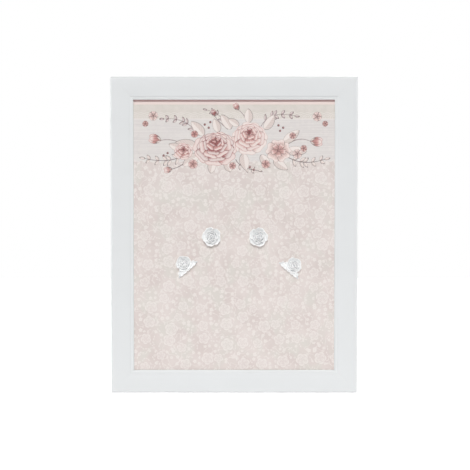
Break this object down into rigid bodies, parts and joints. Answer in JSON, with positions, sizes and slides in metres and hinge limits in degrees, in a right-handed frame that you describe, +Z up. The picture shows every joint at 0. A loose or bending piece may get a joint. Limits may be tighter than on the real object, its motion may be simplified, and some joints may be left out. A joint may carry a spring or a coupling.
{
  "type": "magnetic memo board",
  "caption": "Wall-hung memo board: a white mitred frame round a floral printed sheet on steel, with small cast rose magnets and D-ring hangers behind.",
  "frame": {"origin": "on the wall, midway between the two hooks that the D-rings hang on, at the height where the rings bear on them", "axes": "+X to the right as seen from the front, +Y towards the wall, so the front faces -Y, +Z up"},
  "size_m": [0.312, 0.0267, 0.4],
  "materials": {
    "painted_moulding": "satin white paint on pine, bare at the back",
    "printed_paper": "matt coated print, blush ground with tone-on-tone flowers",
    "galvanised_steel": "dull zinc",
    "hardboard": "brown hardboard, smooth pressed face",
    "nickel_plate": "bright nickel plating",
    "cast_resin": "satin white cast resin",
    "ferrite": "dull sintered ferrite",
    "soft_pad": "milky soft polyurethane"
  },
  "bodies": {
    "board": {"frame_top_rail": "painted_moulding", "frame_bottom_rail": "painted_moulding", "frame_left_stile": "painted_moulding", "frame_right_stile": "painted_moulding", "v_nail_bottom_left_1": "galvanised_steel", "v_nail_bottom_left_2": "galvanised_steel", "v_nail_top_left_1": "galvanised_steel", "v_nail_top_left_2": "galvanised_steel", "v_nail_top_right_1": "galvanised_steel", "v_nail_top_right_2": "galvanised_steel", "v_nail_bottom_right_1": "galvanised_steel", "v_nail_bottom_right_2": "galvanised_steel", "printed_sheet": "printed_paper", "steel_sheet": "galvanised_steel", "backing_board": "hardboard", "retaining_point_bottom_1": "galvanised_steel", "retaining_point_bottom_2": "galvanised_steel", "retaining_point_top_1": "galvanised_steel", "retaining_point_top_2": "galvanised_steel", "retaining_point_left_1": "galvanised_steel", "retaining_point_left_2": "galvanised_steel", "retaining_point_left_3": "galvanised_steel", "retaining_point_right_1": "galvanised_steel", "retaining_point_right_2": "galvanised_steel", "retaining_point_right_3": "galvanised_steel", "hanger_strap_left": "nickel_plate", "hanger_strap_right": "nickel_plate", "hanger_screw_left_1": "nickel_plate", "hanger_screw_left_2": "nickel_plate", "hanger_screw_right_1": "nickel_plate", "hanger_screw_right_2": "nickel_plate", "bumper_left": "soft_pad", "bumper_right": "soft_pad"},
    "ring_left": {"d_ring_left": "nickel_plate"},
    "ring_right": {"d_ring_right": "nickel_plate"},
    "magnet_rose_left": {"rose_left_flower": "cast_resin", "rose_left_disc": "ferrite"},
    "magnet_rose_right": {"rose_right_flower": "cast_resin", "rose_right_disc": "ferrite"},
    "magnet_leaf_rose_left": {"leaf_rose_left_flower": "cast_resin", "leaf_rose_left_disc": "ferrite"},
    "magnet_leaf_rose_right": {"leaf_rose_right_flower": "cast_resin", "leaf_rose_right_disc": "ferrite"}
  },
  "joints": [
    {"name": "ring_left_swing", "type": "hinge", "parent": "board", "child": "ring_left", "pos_m": [-0.145, -0.0021, -0.01099], "axis": [-1, 0, 0], "range_deg": [0, 175]},
    {"name": "ring_right_swing", "type": "hinge", "parent": "board", "child": "ring_right", "pos_m": [0.145, -0.0021, -0.01099], "axis": [-1, 0, 0], "range_deg": [0, 175]},
    {"name": "rose_left_pull", "type": "slide", "parent": "board", "child": "magnet_rose_left", "axis": [0, -1, 0], "range_m": [0, 0.03]},
    {"name": "rose_right_pull", "type": "slide", "parent": "board", "child": "magnet_rose_right", "axis": [0, -1, 0], "range_m": [0, 0.03]},
    {"name": "leaf_rose_left_pull", "type": "slide", "parent": "board", "child": "magnet_leaf_rose_left", "axis": [0, -1, 0], "range_m": [0, 0.03]},
    {"name": "leaf_rose_right_pull", "type": "slide", "parent": "board", "child": "magnet_leaf_rose_right", "axis": [0, -1, 0], "range_m": [0, 0.03]}
  ]
}
